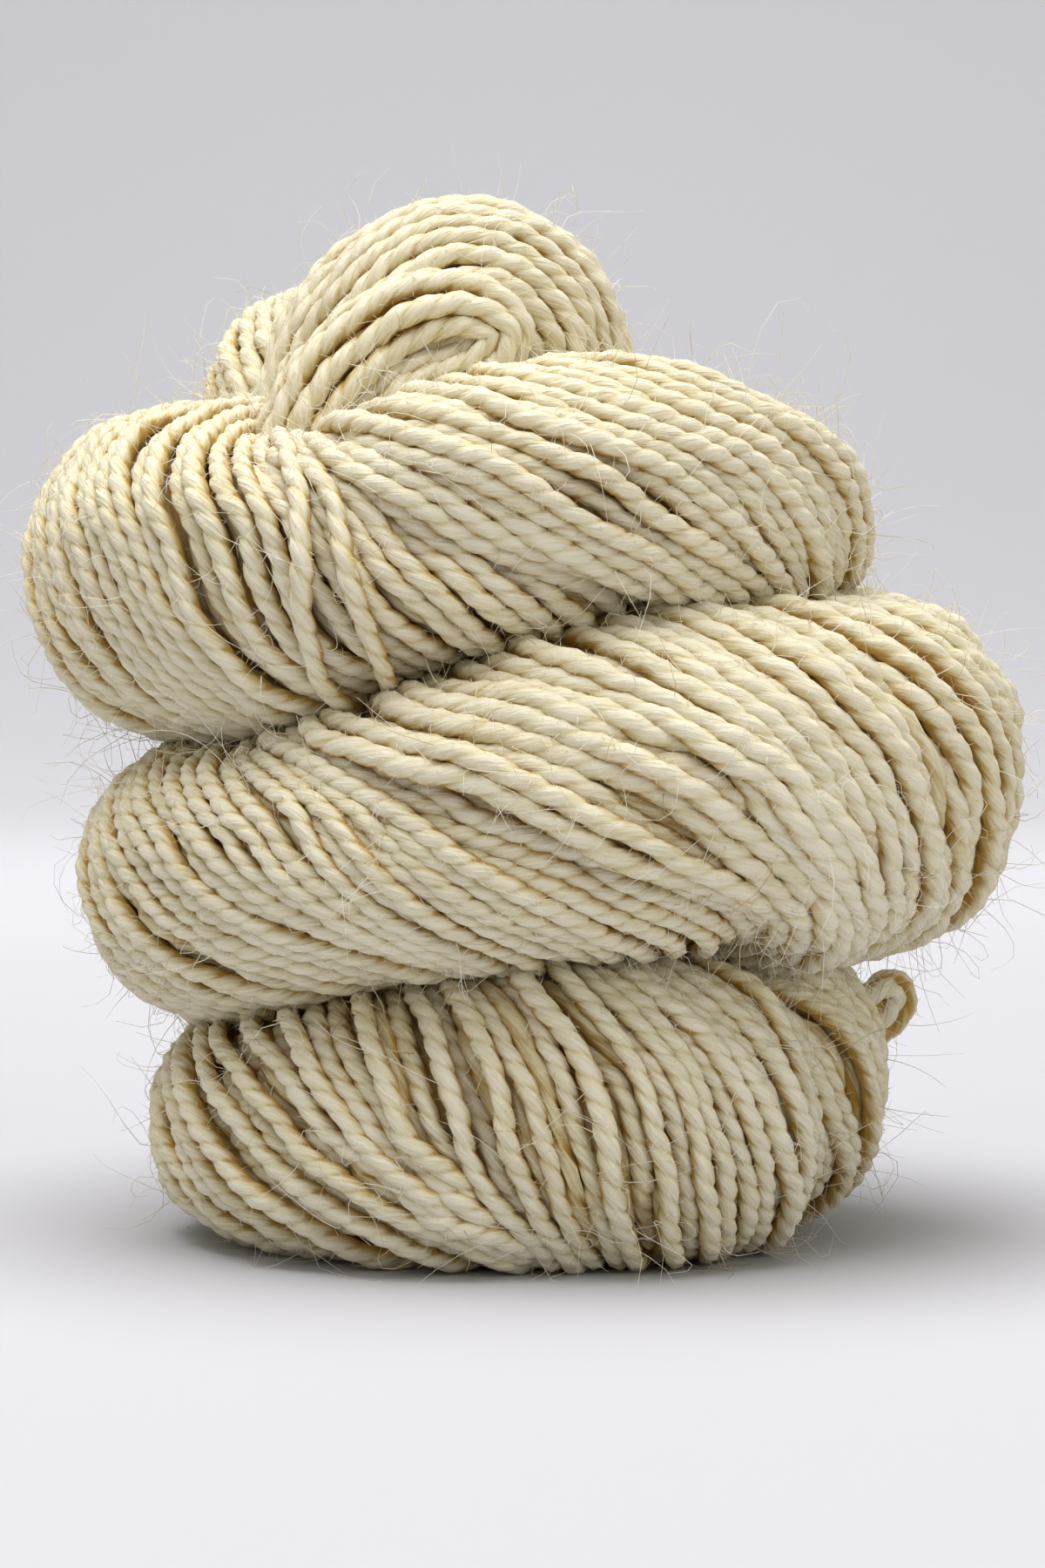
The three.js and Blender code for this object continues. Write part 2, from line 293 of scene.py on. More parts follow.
# The yarn's lie: where every turn of yarn runs, before it settles against its neighbours.
lie = {
    "spacing": 2.1,  # from one yarn's middle to the next on the bundle's outside
    "yarnRadius": 1.1,
    "pointSpacing": 1.2,
    "coverReach": 150,  # degrees round the bundle either way that the yarn covers
    "coverSamples": 181,
    "spreadReach": 101,  # degrees either way over which the space between two wraps is measured
    "spreadStride": 4,  # and only at every fourth point of a wrap
    "spreadStep": 30,  # degrees of turn from one measured line to the next
    "spreadPercentile": 85,
    "strandSamples": 80,
    "overlyingSamples": 60,
    "sideWander": 0.42,
    "depthWander": 0.36,
    "thicknessWander": 0.09,
    "thicknessSpread": 0.5,  # how far whole yarns differ, as a share of that wander
    "wanderWaves": (34.0, 17.0, 9.0),  # millimetres from crest to crest, the longest first
    "wanderStretch": (0.8, 1.25),  # the least and the most that a wave is stretched
    "wanderTotal": 1.9,  # brings the waves' sum back to about one
    "rideUp": 0.85,  # how much some yarns lie above or below the others
    "rideWander": 0.8,  # how much one yarn's own level changes along it
    "rideStretch": 2.5,  # and over how much longer waves than its other wander
    "deepestRide": 1.5,
    "highestRide": 0.8,
    "levelMean": -0.25,  # a yarn's own level, before its neighbour's turns it the other way
    "levelSpread": 0.55,
    "levelSwing": 0.7,
    "placeJitter": 0.14,  # how unevenly the yarns are spread, as a share of their spacing
    "hiddenDepth": 1.9,  # yarn this much deeper in the solid hank than its own layer is left out
    "shortestYarn": 7.0,
    "underSpacing": 2.2,
    "underLayer": 1.6,  # how much deeper the second layer lies
    "overlyingHeight": 1.6,
    "floorClearance": 1.1,
    "seed": 41,
}


# Each piece holds the yarn of one stretch of the coil, by turn, or of the named strands. Loft is how thick
# the yarn is there, pitch is the length of one full twist, and uneven is how far its turns ride up or sink.
yarnPieces = {
    "base_tier_yarn": {
        "from": -235, "to": 200, "strands": ("strayLoop",),
        "loft": 1.02, "pitch": 4.9, "uneven": 1.0,
    },
    "middle_tier_lower_leg": {
        "from": 200, "to": 349, "strands": (),
        "loft": 0.95, "pitch": 4.8, "uneven": 0.5,
    },
    "middle_tier_upper_leg": {
        "from": 349, "to": 560, "strands": (),
        "loft": 1.16, "pitch": 6.8, "uneven": 1.4,
    },
    "top_tier_left_leg": {
        "from": 560, "to": 706, "strands": (),
        "loft": 0.97, "pitch": 5.1, "uneven": 0.45,
    },
    "top_tier_right_leg": {
        "from": 706, "to": 960, "strands": (),
        "loft": 1.03, "pitch": 5.4, "uneven": 0.8,
    },
    "end_loop_yarn": {
        "from": 0, "to": 0, "strands": ("shoulder", "arch", "endLoop"),
        "loft": 1.08, "pitch": 5.8, "uneven": 0.7,
    },
}


# Whether a piece holds yarn that is placed by a turn of the coil or by a strand's name.
def holdsYarn(piece, tier):
    if isinstance(tier, str):
        return tier in piece["strands"]
    return piece["from"] <= tier < piece["to"]


def pieceAt(tier):
    return next(piece for piece in yarnPieces.values() if holdsYarn(piece, tier))


# Places along a line of points that lie an even spacing apart, for reading its values with sampled.
def spacedPoints(points, spacing):
    steps = np.linalg.norm(np.diff(points, axis=0), axis=1)
    lengths = np.concatenate([[0], np.cumsum(steps)])
    count = max(int(round(lengths[-1] / spacing)), 2) + 1
    return np.interp(np.linspace(0, lengths[-1], count), lengths, np.arange(len(points)))


def sampled(values, places):
    index = np.clip(places.astype(int), 0, len(values) - 2)
    share = places - index
    if values.ndim > 1:
        share = share[:, None]
    return values[index] * (1 - share) + values[index + 1] * share


# A slow uneven drift along a yarn, about one either way at its most.
def wander(random, count, spacing):
    places = np.arange(count) * spacing
    total = np.zeros(count)
    for wave in lie["wanderWaves"]:
        phase = random.uniform(0, fullTurn)
        stretched = wave * random.uniform(*lie["wanderStretch"])
        total += math.sqrt(wave / lie["wanderWaves"][0]) * np.sin(fullTurn * places / stretched + phase)
    return total / lie["wanderTotal"]


# One run of yarn: its points, outward directions and the tier that it belongs to.
def addRun(runs, random, points, outward, tier, layer, lift=0.0, level=0.0):
    spacing = lie["pointSpacing"]
    places = spacedPoints(points, spacing)
    points, outward = sampled(points, places), unit(sampled(outward, places))
    count = len(points)
    stretch = pieceAt(tier)
    sideways = unit(np.cross(unit(np.gradient(points, axis=0)), outward))
    points = points + sideways * (lie["sideWander"] * wander(random, count, spacing))[:, None]
    swing = level + lie["rideWander"] * wander(random, count, spacing / lie["rideStretch"])
    ride = np.clip(lie["rideUp"] * stretch["uneven"] * swing, -lie["deepestRide"], lie["highestRide"])
    shift = lift + ride + lie["depthWander"] * wander(random, count, spacing)
    points = points + outward * shift[:, None]
    uneven = wander(random, count, spacing) + random.normal(0, lie["thicknessSpread"])
    thickness = stretch["loft"] * (1 + lie["thicknessWander"] * uneven)
    runs.append({
        "points": points, "outward": outward, "tier": tier, "layer": layer,
        "thickness": thickness, "tone": random.uniform(-1, 1), "phase": random.uniform(0, fullTurn),
    })


# How far apart two wraps lie along the bundle, measured over even steps between them.
def wrapSpread(turns, around, inset):
    steps = max(int(np.abs(turns[1] - turns[0]).mean() / lie["spreadStep"]), 1)
    face = np.flatnonzero(np.abs(around) < lie["spreadReach"])[::lie["spreadStride"]]
    shares = np.linspace(0, 1, steps + 1)
    lines = [bundlePoints(turns[0] * (1 - share) + turns[1] * share, around, inset)[0] for share in shares]
    total = 0
    for first, second in zip(lines, lines[1:]):
        nearest = np.linalg.norm(first[face][:, None, :] - second[None], axis=2).min(axis=1)
        total += np.percentile(nearest, lie["spreadPercentile"])
    return total


# How deep in the bundle a layer's yarn has its middle.
def layerInset(layer):
    return lie["yarnRadius"] + layer * lie["underLayer"]


def coilRuns(random, layer):
    runs, level = [], 0.0
    inset = layerInset(layer)
    spacing = lie["underSpacing" if layer else "spacing"]
    around = np.linspace(lie["coverReach"], -lie["coverReach"], lie["coverSamples"])
    for before, after in zip(wrapRows[:-1], wrapRows[1:]):
        turns = [wrapTurn(*row, around) for row in (before, after)]
        loft = pieceAt((before[1] + after[1]) / 2)["loft"]
        count = max(int(round(wrapSpread(turns, around, inset) / loft / spacing)), 1)
        for index in range(count):
            level = random.normal(lie["levelMean"], lie["levelSpread"]) - lie["levelSwing"] * level
            jitter = random.uniform(-lie["placeJitter"], lie["placeJitter"])
            share = (index + 0.5 + 0.5 * layer + jitter) / count
            turn = turns[0] * (1 - share) + turns[1] * share
            points, outward = bundlePoints(turn, around, inset)
            addRun(runs, random, points, outward, turn[len(turn) // 2], layer, 0.0, level)
    return runs


def overlyingRuns(random):
    runs = []
    for rows in overlyingYarns:
        places = np.linspace(0, len(rows) - 1, lie["overlyingSamples"])
        turn, around = smoothValues(np.arange(len(rows)), rows, places).T
        points, outward = bundlePoints(turn, around, lie["yarnRadius"])
        addRun(runs, random, points, outward, turn[len(turn) // 2], 0, lie["overlyingHeight"])
    return runs


def strandRuns(random, name, layer):
    runs = []
    strand = strands[name]
    inset = layerInset(layer)
    rows = np.array(strand["rows"], float)
    facing, across = rows[:, 3].mean() - inset, rows[:, 4].mean() - inset
    perimeter = fullTurn * math.sqrt((facing ** 2 + across ** 2) / 2)
    count = max(int(round(perimeter / lie["spacing"])), 3)
    for index in range(count):
        start = fullTurn * (index + 0.5 * layer) / count
        angles = start + np.linspace(0, strand["twist"] * fullTurn, lie["strandSamples"])
        points, outward = strandPoints(strand, angles, inset)
        addRun(runs, random, points, outward, name, layer)
    return runs


# Cuts each run where it is buried in the solid hank, under another tier or strand.
def visibleRuns(runs):
    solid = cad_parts["yarn_hank"].data
    corners = [corner.co / mm for corner in solid.vertices]
    surface = BVHTree.FromPolygons(corners, [face.vertices for face in solid.polygons])
    kept = []
    for run in runs:
        depth = np.array([surface.find_nearest(Vector(point))[3] for point in run["points"]])
        inset = layerInset(run["layer"])
        seen = depth < inset + lie["hiddenDepth"]
        edges = np.flatnonzero(np.diff(np.concatenate([[0], seen.astype(int), [0]])))
        for start, end in zip(edges[::2], edges[1::2]):
            if (end - start) * lie["pointSpacing"] >= lie["shortestYarn"]:
                part = dict(run)
                for key in ("points", "outward", "thickness"):
                    part[key] = run[key][start:end]
                # how deep the yarn lies in the solid hank here, kept for the painted shade in the creases
                part["buried"] = np.maximum(depth - inset, 0)[start:end]
                kept.append(part)
    return kept


# Finds which points lie within reach of each other, by sorting them into cells of that size.
def closePairs(points, reach):
    cells = np.floor((points - points.min(0)) / reach).astype(np.int64) + 1
    sizes = cells.max(0) + 2
    keys = (cells[:, 0] * sizes[1] + cells[:, 1]) * sizes[2] + cells[:, 2]
    order = np.argsort(keys, kind="stable")
    keys = keys[order]
    near = (-1, 0, 1)
    steps = [(x * sizes[1] + y) * sizes[2] + z for x in near for y in near for z in near]
    pairs = []
    for step in [value for value in steps if value >= 0]:
        start = np.searchsorted(keys, keys + step, "left")
        count = np.searchsorted(keys, keys + step, "right") - start
        first = np.repeat(np.arange(len(keys)), count)
        second = np.arange(count.sum()) - np.repeat(np.cumsum(count) - count, count) + np.repeat(start, count)
        if step == 0:
            first, second = first[second > first], second[second > first]
        first, second = order[first], order[second]
        close = ((points[first] - points[second]) ** 2).sum(1) < reach ** 2
        pairs.append((first[close], second[close]))
    return np.concatenate([pair[0] for pair in pairs]), np.concatenate([pair[1] for pair in pairs])


# Lets the runs settle against each other, so that crowded yarn rides up or sinks as it does in a real hank.
settling = {
    "steps": 48,
    "refresh": 6,  # steps after which the neighbours are looked for again
    "margin": 0.9,  # how much farther than two yarns' touch they are looked for
    "ownReach": 5,  # points this near along one yarn don't press on each other
    "contact": 0.86,  # yarn is soft, so two middles come this share of their radii together
    "push": 0.42,
    "stiffness": 0.45,
    "sideReturn": 0.06,  # the share of each move that a step takes back
    "riseReturn": 0.25,
    "sinkReturn": 0.03,
}


def settle(runs):
    sizes = [len(run["points"]) for run in runs]
    home = np.concatenate([run["points"] for run in runs])
    outward = np.concatenate([run["outward"] for run in runs])
    radius = lie["yarnRadius"] * np.concatenate([run["thickness"] for run in runs])
    owner = np.repeat(np.arange(len(runs)), sizes)
    before = np.maximum(np.arange(len(home)) - 1, 0)
    after = np.minimum(np.arange(len(home)) + 1, len(home) - 1)
    before = np.where(owner[before] == owner, before, np.arange(len(home)))
    after = np.where(owner[after] == owner, after, np.arange(len(home)))
    points = home.copy()
    for step in range(settling["steps"]):
        if step % settling["refresh"] == 0:
            first, second = closePairs(points, 2 * lie["yarnRadius"] + settling["margin"])
            apart = (owner[first] != owner[second]) | (np.abs(first - second) > settling["ownReach"])
            first, second = first[apart], second[apart]
        gap = points[second] - points[first]
        distance = np.maximum(np.linalg.norm(gap, axis=1), tiny)
        overlap = np.maximum(settling["contact"] * (radius[first] + radius[second]) - distance, 0)
        move = gap * (settling["push"] * overlap / distance / 2)[:, None]
        for axis in range(3):
            points[:, axis] += np.bincount(second, move[:, axis], len(points))
            points[:, axis] -= np.bincount(first, move[:, axis], len(points))
        shift = points - home
        mean = (shift[before] + shift[after]) / 2
        shift += settling["stiffness"] * (mean - shift)
        rise = (shift * outward).sum(1)
        sideways = shift - outward * rise[:, None]
        back = np.where(rise > 0, settling["riseReturn"], settling["sinkReturn"])
        points = home + sideways * (1 - settling["sideReturn"]) + outward * (rise * (1 - back))[:, None]
        points[:, 2] = np.maximum(points[:, 2], lie["floorClearance"])
    sunk = -((points - home) * outward).sum(1)
    place = 0
    for run, size in zip(runs, sizes):
        run["points"] = points[place:place + size]
        run["sunk"] = sunk[place:place + size]
        place += size


# Colours are sRGB, and this turns one to the linear values that a node takes.
def linearColour(hexCode):
    channels = [int(hexCode[place:place + 2], 16) / 255 for place in (1, 3, 5)]
    return [c / 12.92 if c <= 0.04045 else ((c + 0.055) / 1.055) ** 2.4 for c in channels] + [1.0]


def addNode(tree, kind, inputs=None, **settings):
    node = tree.nodes.new(kind)
    for name, value in settings.items():
        setattr(node, name, value)
    for key, value in (inputs or {}).items():
        if isinstance(value, bpy.types.NodeSocket):
            tree.links.new(value, node.inputs[key])
        else:
            node.inputs[key].default_value = value
    return node


def newMaterial(name):
    material = bpy.data.materials.new(name)
    material.use_nodes = True
    material.node_tree.nodes.clear()
    return material, material.node_tree


def addObject(name, data):
    thing = bpy.data.objects.new(name, data)
    bpy.context.scene.collection.objects.link(thing)
    return thing


woolIor = 1.54  # what a single wool fibre has

# How the yarn looks. The shares move the wool on from its light colour towards its painted shade.
yarnLook = {
    "light": "#f9f2da",  # the tops of the plies, where little painted shade falls
    "body": "#e9dfb8",
    "shade": "#bd984a",  # painted shade, golden, between the plies, on the sides turned inwards and under the yarn
    "lightAt": 0.06,  # where the light and the body colour stand on the way to the shade, which is at 1
    "bodyAt": 0.42,
    "openShade": 0.66,  # where plain wool stands, before the shares below are added
    "grooveShade": 0.3,  # painted shade in the groove between the plies
    "hiddenShade": 1.04,  # painted shade where the yarn's side turns inwards
    "sunkShade": 0.17,  # painted shade for each millimetre that the yarn lies deeper
    "streakShade": -1.3,
    "patchShade": 0.22,
    "toneShade": 0.05,  # from one yarn to the next
    "roughness": 0.88,
    "specular": 0.16,
    "sheen": 0.12,
    "sheenRoughness": 0.45,
    "sheenTint": "#fff0cc",
    "throughLight": "#f6e2a0",  # what light picks up as it passes through the wool
    "throughShare": 0.14,
    "fibresAcross": 5.5,  # fibre streaks over one ply, coarser than the real fibres so that they show
    "streakLength": 3.6,  # millimetres along the ply
    "streakRoughness": 0.62,
    "streakBend": 0.35,
    "patchSize": 12.6,  # millimetres, for a slow change of tone over the hank
    "bumpStrength": 0.9,
    "bumpDepth": 0.28,
}


# Undyed sheep's wool, two plies spun and twisted together: creamy, matt and soft, with fibres that run
# along each ply, and a warm golden shade painted into the gaps, the grooves and the sides turned inwards.
def undyedWoolMaterial(name, darker):
    material, tree = newMaterial(name)
    groove, exposure, sunk, tone = (
        addNode(tree, "ShaderNodeAttribute", attribute_name=read).outputs["Fac"]
        for read in ("groove", "exposure", "sunk", "tone")
    )
    fibre = addNode(tree, "ShaderNodeAttribute", attribute_name="fibreSpace").outputs["Vector"]
    place = addNode(tree, "ShaderNodeTexCoord").outputs["Object"]
    streaks = addNode(tree, "ShaderNodeTexNoise", {
        "Vector": fibre, "Scale": 1.0, "Detail": 3.0,
        "Roughness": yarnLook["streakRoughness"], "Distortion": yarnLook["streakBend"],
    }).outputs["Fac"]
    patches = addNode(tree, "ShaderNodeTexNoise", {
        "Vector": place, "Scale": 1 / (yarnLook["patchSize"] * mm), "Detail": 2.0,
    }).outputs["Fac"]
    hidden = addNode(tree, "ShaderNodeMath", {0: 1.0, 1: exposure}, operation="SUBTRACT").outputs[0]
    # Painted shade: the groove, the inward sides and the depth push the wool towards its golden shade colour;
    # the streaks, patches and tone are the wool's own.
    amount = yarnLook["openShade"] + darker
    for value, share in (
        (groove, yarnLook["grooveShade"]),
        (hidden, yarnLook["hiddenShade"]),
        (sunk, yarnLook["sunkShade"]),
        (streaks, yarnLook["streakShade"]),
        (patches, yarnLook["patchShade"]),
        (tone, yarnLook["toneShade"]),
    ):
        amount = addNode(tree, "ShaderNodeMath", {
            0: value, 1: share, 2: amount,
        }, operation="MULTIPLY_ADD").outputs[0]
    ramp = addNode(tree, "ShaderNodeValToRGB", {"Fac": amount})
    stops = ramp.color_ramp.elements
    stops[0].position, stops[0].color = yarnLook["lightAt"], linearColour(yarnLook["light"])
    stops[1].position, stops[1].color = 1.0, linearColour(yarnLook["shade"])
    stops.new(yarnLook["bodyAt"]).color = linearColour(yarnLook["body"])
    bump = addNode(tree, "ShaderNodeBump", {
        "Strength": yarnLook["bumpStrength"], "Distance": yarnLook["bumpDepth"] * mm, "Height": streaks,
    })
    shader = addNode(tree, "ShaderNodeBsdfPrincipled", {
        "Base Color": ramp.outputs["Color"], "Normal": bump.outputs["Normal"], "IOR": woolIor,
        "Roughness": yarnLook["roughness"], "Specular IOR Level": yarnLook["specular"],
        "Sheen Weight": yarnLook["sheen"], "Sheen Roughness": yarnLook["sheenRoughness"],
        "Sheen Tint": linearColour(yarnLook["sheenTint"]),
    })
    through = addNode(tree, "ShaderNodeBsdfTranslucent", {"Color": linearColour(yarnLook["throughLight"])})
    soft = addNode(tree, "ShaderNodeMixShader", {
        0: yarnLook["throughShare"], 1: shader.outputs["BSDF"], 2: through.outputs["BSDF"],
    })
    addNode(tree, "ShaderNodeOutputMaterial", {"Surface": soft.outputs[0]})
    return material


# The outer yarn, and the layer that shows between its turns. Each section is half the outline of two plies
# pressed together, as angles from a ply's middle and the radius there as a share of the yarn's. Its last
# row is the groove between the plies.
yarnLayers = [
    {
        "ending": "", "material": "undyed two ply wool", "darker": 0.0,
        "step": 0.75,  # millimetres along the yarn from one section to the next
        "pitchFactor": 1,
        "section": [(-52, 0.91), (0, 1.0), (52, 0.91), (90, 0.77)],
    },
    {
        # the layer underneath: the same wool, painted a little further into its shade
        "ending": "_under", "material": "undyed two ply wool in shade", "darker": 0.02,
        "step": 2.2,
        "pitchFactor": 2,
        "section": [(-45, 0.96), (25, 0.98), (90, 0.8)],
    },
]

# What the yarn's surface has in both layers.
yarnSurface = {
    "fibreTurn": 0.55,  # how far the fibre streaks turn with the plies
    "lumpSize": 0.9,  # small uneven places where the spinning left more or less wool
    "lumpHeight": 0.09,
    "hiddenFacing": -0.35,  # a face counts as hidden from here on inwards, and as shown from here on outwards
    "shownFacing": 0.75,
}


def yarnSectionObject(rows):
    points, grooves, around = [], [], []
    for half in (0, 180):
        for degrees, radius in rows:
            angle = math.radians(degrees + half)
            points.append((radius * math.cos(angle), radius * math.sin(angle), 0))
            grooves.append(float((degrees, radius) == rows[-1]))
            around.append(angle)
    mesh = bpy.data.meshes.new("yarnSection")
    count = len(points)
    mesh.from_pydata(points, [(index, (index + 1) % count) for index in range(count)], [])
    mesh.attributes.new("groove", "FLOAT", "POINT").data.foreach_set("value", grooves)
    mesh.attributes.new("around", "FLOAT", "POINT").data.foreach_set("value", around)
    return addObject("yarnSection", mesh)


# Starts a node tree with its inputs, and gives the identifier and the node output of each by its name.
def openTree(name, inputs):
    tree = bpy.data.node_groups.new(name, "GeometryNodeTree")
    sockets = {}
    for label, kind, value in (("Geometry", "NodeSocketGeometry", None), *inputs):
        socket = tree.interface.new_socket(name=label, in_out="INPUT", socket_type=kind)
        if value is not None:
            socket.default_value = value
        sockets[label] = socket.identifier
    tree.interface.new_socket(name="Geometry", in_out="OUTPUT", socket_type="NodeSocketGeometry")
    return tree, sockets, addNode(tree, "NodeGroupInput").outputs


# Ends a node tree: what it made becomes a real mesh with its material.
def closeTree(tree, geometry, material):
    real = addNode(tree, "GeometryNodeRealizeInstances", {"Geometry": geometry})
    coloured = addNode(tree, "GeometryNodeSetMaterial", {"Geometry": real.outputs[0], "Material": material})
    addNode(tree, "NodeGroupOutput", {"Geometry": coloured.outputs[0]})


# Sweeps the section along each run of edges, turning with the twist, and marks what the wool material reads.
def yarnTree():
    tree, sockets, group = openTree("twistedYarn", (
        ("Section", "NodeSocketObject", None),
        ("Step", "NodeSocketFloat", yarnLayers[0]["step"] * mm),
        ("Yarn Radius", "NodeSocketFloat", lie["yarnRadius"] * mm),
        ("Twist Pitch", "NodeSocketFloat", yarnPieces["base_tier_yarn"]["pitch"] * mm),
        ("Fibre Turn", "NodeSocketFloat", yarnSurface["fibreTurn"]),
        ("Lumps Per Metre", "NodeSocketFloat", 1 / (yarnSurface["lumpSize"] * mm)),
        ("Lump Height", "NodeSocketFloat", yarnSurface["lumpHeight"] * mm),
        ("Material", "NodeSocketMaterial", None),
    ))
    phase, thickness, twistHere, alongHere, around = (
        addNode(tree, "GeometryNodeInputNamedAttribute", {"Name": read}, data_type="FLOAT").outputs[0]
        for read in ("phase", "thickness", "twist", "alongYarn", "around")
    )
    outward = addNode(tree, "GeometryNodeInputNamedAttribute", {
        "Name": "outward",
    }, data_type="FLOAT_VECTOR").outputs[0]
    curve = addNode(tree, "GeometryNodeMeshToCurve", {"Mesh": group["Geometry"]})
    smooth = addNode(tree, "GeometryNodeCurveSplineType", {
        "Curve": curve.outputs[0],
    }, spline_type="CATMULL_ROM")
    even = addNode(tree, "GeometryNodeResampleCurve", {
        "Curve": smooth.outputs[0], "Length": group["Step"],
    }, mode="LENGTH")
    length = addNode(tree, "GeometryNodeSplineParameter").outputs["Length"]
    turns = addNode(tree, "ShaderNodeMath", {0: length, 1: group["Twist Pitch"]}, operation="DIVIDE")
    twist = addNode(tree, "ShaderNodeMath", {
        0: turns.outputs[0], 1: -fullTurn, 2: phase,
    }, operation="MULTIPLY_ADD")
    stored = even
    for name, value in (("twist", twist.outputs[0]), ("alongYarn", length)):
        stored = addNode(tree, "GeometryNodeStoreNamedAttribute", {
            "Geometry": stored.outputs[0], "Name": name, "Value": value,
        }, data_type="FLOAT", domain="POINT")
    tilted = addNode(tree, "GeometryNodeSetCurveTilt", {"Curve": stored.outputs[0], "Tilt": twistHere})
    radius = addNode(tree, "ShaderNodeMath", {0: thickness, 1: group["Yarn Radius"]}, operation="MULTIPLY")
    section = addNode(tree, "GeometryNodeObjectInfo", {"Object": group["Section"]})
    outline = addNode(tree, "GeometryNodeMeshToCurve", {"Mesh": section.outputs["Geometry"]})
    swept = addNode(tree, "GeometryNodeCurveToMesh", {
        "Curve": tilted.outputs[0], "Profile Curve": outline.outputs[0],
        "Scale": radius.outputs[0], "Fill Caps": True,
    })

    # How far each face looks out of the hank, which the wool material paints as shade where it turns inwards,
    # and where it lies among the fibre streaks.
    normal = addNode(tree, "GeometryNodeInputNormal").outputs[0]
    facing = addNode(tree, "ShaderNodeVectorMath", {0: normal, 1: outward}, operation="DOT_PRODUCT")
    exposure = addNode(tree, "ShaderNodeMapRange", {
        "Value": facing.outputs["Value"],
        "From Min": yarnSurface["hiddenFacing"], "From Max": yarnSurface["shownFacing"],
    }, interpolation_type="SMOOTHSTEP")
    shown = addNode(tree, "GeometryNodeStoreNamedAttribute", {
        "Geometry": swept.outputs[0], "Name": "exposure", "Value": exposure.outputs[0],
    }, data_type="FLOAT", domain="POINT")
    turned = addNode(tree, "ShaderNodeMath", {
        0: twistHere, 1: group["Fibre Turn"], 2: around,
    }, operation="MULTIPLY_ADD").outputs[0]
    cosine = addNode(tree, "ShaderNodeMath", {0: turned}, operation="COSINE").outputs[0]
    sine = addNode(tree, "ShaderNodeMath", {0: turned}, operation="SINE").outputs[0]
    flat = addNode(tree, "ShaderNodeCombineXYZ", {"X": cosine, "Y": sine})
    wide = addNode(tree, "ShaderNodeVectorMath", {
        0: flat.outputs[0], "Scale": yarnLook["fibresAcross"] / 2,
    }, operation="SCALE")
    streak = addNode(tree, "ShaderNodeMath", {
        0: alongHere, 1: 1 / (yarnLook["streakLength"] * mm), 2: phase,
    }, operation="MULTIPLY_ADD")
    lengthwise = addNode(tree, "ShaderNodeCombineXYZ", {"X": phase, "Z": streak.outputs[0]})
    fibreSpace = addNode(tree, "ShaderNodeVectorMath", {
        0: wide.outputs[0], 1: lengthwise.outputs[0],
    }, operation="ADD")
    marked = addNode(tree, "GeometryNodeStoreNamedAttribute", {
        "Geometry": shown.outputs[0], "Name": "fibreSpace", "Value": fibreSpace.outputs[0],
    }, data_type="FLOAT_VECTOR", domain="POINT")

    # The spinning's small lumps.
    place = addNode(tree, "GeometryNodeInputPosition").outputs[0]
    lumps = addNode(tree, "ShaderNodeTexNoise", {
        "Vector": place, "Scale": group["Lumps Per Metre"], "Detail": 1.0,
    }, normalize=False)
    rise = addNode(tree, "ShaderNodeMath", {
        0: lumps.outputs["Fac"], 1: group["Lump Height"],
    }, operation="MULTIPLY")
    offset = addNode(tree, "ShaderNodeVectorMath", {0: normal, "Scale": rise.outputs[0]}, operation="SCALE")
    rough = addNode(tree, "GeometryNodeSetPosition", {
        "Geometry": marked.outputs[0], "Offset": offset.outputs[0],
    })
    softened = addNode(tree, "GeometryNodeSetShadeSmooth", {"Geometry": rough.outputs[0]})
    closeTree(tree, softened.outputs[0], group["Material"])
    return tree, sockets


# Loose fibres that stand out of the yarn, curling as they go.
looseFibres = {
    "density": 75000,  # on a square metre of the yarn's shown faces
    "shortest": 1.5,
    "longest": 5.2,
    "thickness": 0.045,
    "standUp": 0.22,  # 0 lies any way, and more points away from the yarn
    "exposedFrom": 0.35,
    "floorGap": 0.1,
    "seed": 19,
    "segments": 6,
    "curl": 1.25,
    "eddiesPerMetre": 220.0,  # the slow unseen field that bends the fibres
    "eddyReach": 4.0,
    "tipTaper": 0.6,  # the share of its thickness that a fibre loses towards its tip
}

# The short fibre ends that make the yarn fuzzy, each a fine spike.
fuzz = {
    "density": 450000,
    "shortest": 0.4,
    "longest": 1.5,
    "thickness": 0.04,
    "standUp": 0.5,
    "exposedFrom": 0.25,
    "floorGap": 0.1,
    "seed": 7,
}


